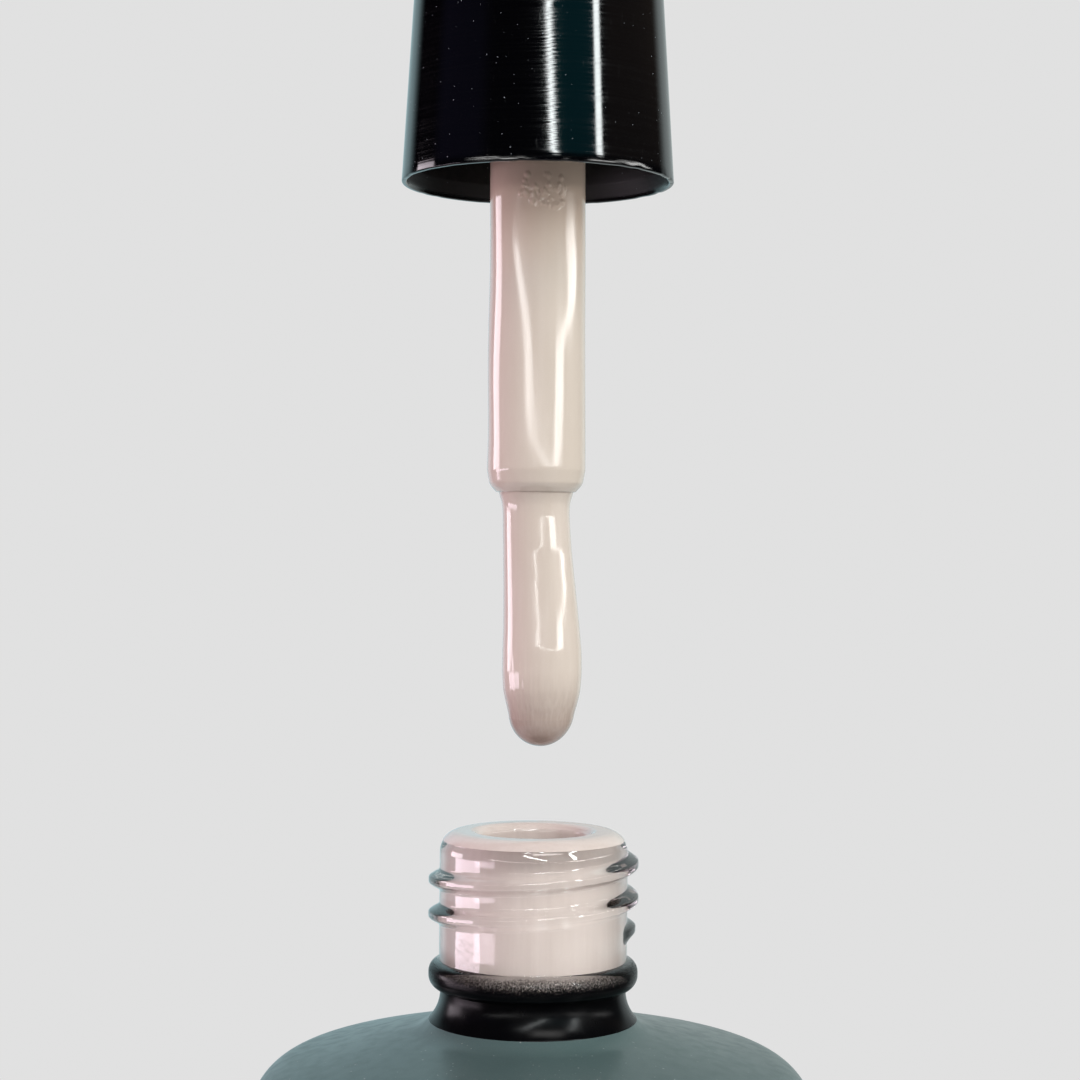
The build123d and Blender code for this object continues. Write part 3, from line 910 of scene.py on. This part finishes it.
BLACK = (0.011, 0.011, 0.012, 1)
BLACK_WORN = (0.020, 0.020, 0.022, 1)
RUBBER = (0.46, 0.46, 0.44, 1)
RUBBER_WORN = (0.40, 0.39, 0.37, 1)
WHITE = (0.78, 0.78, 0.75, 1)
WHITE_WORN = (0.70, 0.69, 0.65, 1)
CAD_LOOKS = {
    "gel_polish": gel_material("gel_in_bottle", (0.66, 0.53, 0.48, 1), (0.56, 0.43, 0.38, 1), 0.2),
    "inner_cap": moulded_material("inner_cap_black", BLACK, BLACK_WORN, 0.35, 6.0, 0.02),
    "gasket": moulded_material("seal_rubber_grey", RUBBER, RUBBER_WORN, 0.55, 9.0, 0.02),
    "slip_ring": moulded_material("slip_ring_white", WHITE, WHITE_WORN, 0.32, 7.0, 0.01),
    "brush_stem": moulded_material("wand_black", BLACK, BLACK_WORN, 0.28, 6.0, 0.01),
    "anchor_staple": brass_material(),
    "bristles": nylon_material(),
}
for name, material in CAD_LOOKS.items():
    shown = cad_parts[name]
    shown.data.materials.clear()
    shown.data.materials.append(material)


# ------------------------------------------------------------------ floor

FLOOR_RINGS = [0, 4, 10, 18, 30, 45, 62, 80, 100, 120, 145]
FLOOR_FADES_FROM, FLOOR_GONE_AT = 55, 140
FLOOR_UNDER = 0.02           # keeps the floor clear of the bottle's foot
FLOOR_GREY = (0.60, 0.60, 0.60, 1)
FLOOR_PALE = (0.63, 0.63, 0.63, 1)


def make_floor():
    """Pale round table top whose edge fades out into the background."""
    piece = revolved("pale_floor", [(radius, 0.0) for radius in FLOOR_RINGS], segments=96)
    piece.location.z = -FLOOR_UNDER * MM
    material, tree, shader = new_material("pale_table", {"Roughness": 0.75, "IOR": 1.3})
    position = {0: object_position(tree)}
    distance = node(tree, "ShaderNodeVectorMath", position, operation="LENGTH").outputs["Value"]
    grain = noise(tree, stretched(tree, 0.8, 0.8, 0.8), 3.0)
    colour = tint(tree, ramp(tree, grain, 0.3, 0.7), FLOOR_GREY, FLOOR_PALE)
    tree.links.new(colour, shader.inputs["Base Color"])
    shown = ramp(tree, distance, FLOOR_FADES_FROM * MM, FLOOR_GONE_AT * MM, 1.0, 0.0)
    tree.links.new(shown, shader.inputs["Alpha"])
    piece.data.materials.append(material)


make_floor()


# ------------------------------------------------------------------ studio light and background

BACKGROUND = 0.752


def azimuth_at(share):
    """Azimuth in degrees that a vertical cylinder mirrors at this share of its radius."""
    return math.degrees(2 * math.asin(share))


WINDOW = 5.5                 # radiance of the windows on the left
LOW_SIDE = (azimuth_at(-0.82), azimuth_at(-0.56))
HIGH_SIDE = (azimuth_at(-0.87), azimuth_at(-0.75))
VIOLET_SIDE = (azimuth_at(-0.74), azimuth_at(-0.40))
TEAL_SIDE = (azimuth_at(0.10), azimuth_at(0.46))
BROWN_SIDE = (azimuth_at(0.50), azimuth_at(0.92))
# name: (azimuth from, to, elevation from, to, edge in degrees, slant, colour, radiance)
# Azimuth is 0 towards the camera and positive to the right; the slant takes that many degrees of it
# per degree of elevation.
PANELS = {
    "strip_left": (29.4, 34.0, 13.5, 42, 0.6, 1.1, (0.95, 1.0, 1.0), 27.0),
    "strip_right": (50.5, 56.0, 13.5, 42, 0.8, 0.0, (0.95, 1.0, 1.0), 22.0),
    "window_low": (*LOW_SIDE, -11.8, -5, 1.2, 0.0, (1.0, 0.84, 0.96), WINDOW),
    "window_high": (*HIGH_SIDE, -4.0, 11.0, 1.6, 0.0, (1.0, 0.88, 0.96), WINDOW),
    "violet_glow": (*VIOLET_SIDE, 14, 20, 9.0, 0.0, (0.4, 0.4, 0.9), 0.13),
    "teal_glow": (*TEAL_SIDE, 14, 30, 5.0, 0.0, (0.02, 0.42, 0.52), 0.46),
    "brown_glow": (*BROWN_SIDE, 14, 30, 7.0, 0.0, (0.45, 0.35, 0.28), 0.20),
    "top_light": (0, 44, 44, 57, 3.0, 0.0, (1.0, 0.99, 0.97), 6.5),
}
# Broad lights that shiny surfaces don't mirror, as if flagged off from them.
FILLS = {
    "front_fill": (-75, 75, -35, 50, 15.0, 0.0, (1.0, 0.98, 0.96), 0.34),
    "left_fill": (-150, -62, -35, 60, 12.0, 0.0, (1.0, 0.66, 0.82), 0.92),
    "right_fill": (60, 150, -35, 60, 15.0, 0.0, (0.93, 1.0, 0.95), 0.95),
    "overhead": (-190, 190, 55, 95, 10.0, 0.0, (1.0, 1.0, 1.0), 0.34),
}
FILL_THROUGH_GLASS = 0.4     # a transmitted ray counts as glossy too, so it gets this share back
# Backdrop behind the object: (azimuth where it starts, where it is full, colour, radiance)
BACKDROP = {
    "behind_right": (124, 142, (0.80, 0.90, 0.90), 0.68),
    "behind_left": (-126, -145, (0.66, 0.92, 0.98), 0.75),
}
BACKDROP_TOP = (62, 52)
# Slanting pair of lines of light in front: heights in degrees of elevation, widths in shares of a
# cylinder's radius.
LINE_FOOT = (2.3, 2.6)
LINE_HEAD = (8.95, 8.65)
LINE_START = 8.75
LINE_DROP = 6.28
LEFT_LINE_W = 0.072
RIGHT_LINE_W = 0.080
LINE_COLOUR = (1.0, 1.0, 0.98)
LINE_RADIANCE = 9.0


def world_panel(tree, azimuth, elevation, spec):
    """Light of one soft-edged panel of the studio."""
    from_az, to_az, from_el, to_el, edge, slant, colour, radiance = spec
    if slant:
        azimuth = calc(tree, "MULTIPLY_ADD", elevation, slant, azimuth)
    left = ramp(tree, azimuth, from_az - edge, from_az + edge)
    right = ramp(tree, azimuth, to_az + edge, to_az - edge)
    below = ramp(tree, elevation, from_el - edge, from_el + edge)
    above = ramp(tree, elevation, to_el + edge, to_el - edge)
    across = calc(tree, "MULTIPLY", left, right)
    mask = calc(tree, "MULTIPLY", across, calc(tree, "MULTIPLY", below, above))
    return coloured(tree, mask, colour, radiance)


def dimmed(tree, light, share):
    """A light times a share."""
    return node(tree, "ShaderNodeVectorMath", {0: light, 3: share}, operation="SCALE").outputs[0]


def coloured(tree, mask, colour, radiance):
    """A mask times a colour and a radiance."""
    return dimmed(tree, tuple(part * radiance for part in colour), mask)


def summed(tree, lights):
    """All the lights together."""
    total = lights[0]
    for light in lights[1:]:
        total = node(tree, "ShaderNodeVectorMath", {0: total, 1: light}, operation="ADD").outputs[0]
    return total


def line_mask(tree, share, centre, width, elevation):
    """One soft-edged line of light, width to each side of its centre, between foot and head."""
    away = calc(tree, "ABSOLUTE", calc(tree, "SUBTRACT", share, centre))
    across = ramp(tree, away, width * 1.3, width * 0.7)
    below = ramp(tree, elevation, *LINE_FOOT)
    above = ramp(tree, elevation, *LINE_HEAD)
    return calc(tree, "MULTIPLY", across, calc(tree, "MULTIPLY", below, above))


def slanting_lines(tree, turn, elevation):
    """Pair of lines that lean together, as two slit reflectors give."""
    share = calc(tree, "SINE", calc(tree, "MULTIPLY", turn, 0.5))
    below_start = calc(tree, "SUBTRACT", LINE_START, elevation)
    down = calc(tree, "DIVIDE", below_start, LINE_DROP, clamp=True)
    left_bend = ramp(tree, down, 0.68, 1.02, -0.447, -0.147)
    left_at = calc(tree, "MULTIPLY_ADD", down, 0.46, left_bend)
    right_top = ramp(tree, down, 0.0, 0.2, 0.66, 0.73)
    right_at = calc(tree, "ADD", right_top, ramp(tree, down, 0.22, 0.55, 0.0, -0.27))
    right_at = calc(tree, "ADD", right_at, ramp(tree, down, 0.80, 1.02, 0.0, -0.13))
    left_line = line_mask(tree, share, left_at, LEFT_LINE_W, elevation)
    right_line = line_mask(tree, share, right_at, RIGHT_LINE_W, elevation)
    return calc(tree, "MAXIMUM", left_line, right_line)


def make_world():
    """Plain pale background, with a dark studio of soft panels for light and reflections."""
    world = bpy.data.worlds.new("studio")
    bpy.context.scene.world = world
    world.use_nodes = True
    tree = world.node_tree
    tree.nodes.clear()
    direction = node(tree, "ShaderNodeTexCoord").outputs["Generated"]
    parts = node(tree, "ShaderNodeSeparateXYZ", {0: direction}).outputs
    backward = calc(tree, "MULTIPLY", parts["Y"], -1.0)
    turn = calc(tree, "ARCTAN2", parts["X"], backward)
    azimuth = calc(tree, "DEGREES", turn)
    elevation = calc(tree, "DEGREES", calc(tree, "ARCSINE", parts["Z"]))

    lights = [world_panel(tree, azimuth, elevation, spec) for spec in PANELS.values()]
    below_top = ramp(tree, elevation, *BACKDROP_TOP)
    for start, full, colour, radiance in BACKDROP.values():
        mask = calc(tree, "MULTIPLY", ramp(tree, azimuth, start, full), below_top)
        lights.append(coloured(tree, mask, colour, radiance))
    lines = slanting_lines(tree, turn, elevation)
    lights.append(coloured(tree, lines, LINE_COLOUR, LINE_RADIANCE))

    path = node(tree, "ShaderNodeLightPath").outputs
    fills = [world_panel(tree, azimuth, elevation, spec) for spec in FILLS.values()]
    unmirrored = calc(tree, "SUBTRACT", 1.0, path["Is Glossy Ray"])
    transmitted = path["Is Transmission Ray"]
    shown = calc(tree, "MULTIPLY_ADD", transmitted, FILL_THROUGH_GLASS, unmirrored)
    fill = dimmed(tree, summed(tree, fills), shown)
    total = summed(tree, [*lights, fill])
    colour = tint(tree, path["Is Camera Ray"], total, (BACKGROUND, BACKGROUND, BACKGROUND, 1))
    background = node(tree, "ShaderNodeBackground", {"Color": colour, "Strength": 1.0})
    output = node(tree, "ShaderNodeOutputWorld")
    tree.links.new(background.outputs[0], output.inputs["Surface"])


make_world()


# ------------------------------------------------------------------ camera

CAMERA_BACK = 133.3
CAMERA_OVER_LIP = 17.95
CAMERA_SIDE = 0.27
CAMERA_ROLL = -0.35          # degrees
LENS = 72
SENSOR = 36


def make_camera():
    """Level close view a little over the lip."""
    lens = bpy.data.cameras.new("camera")
    lens.lens = LENS
    lens.sensor_width = SENSOR
    lens.clip_start = 0.005
    lens.clip_end = 10
    camera = bpy.data.objects.new("camera", lens)
    bpy.context.scene.collection.objects.link(camera)
    camera.location = (CAMERA_SIDE * MM, -CAMERA_BACK * MM, (LIP + CAMERA_OVER_LIP) * MM)
    camera.rotation_euler = (math.radians(90), math.radians(CAMERA_ROLL), 0)
    bpy.context.scene.camera = camera


make_camera()
bpy.context.scene.view_settings.view_transform = "Standard"
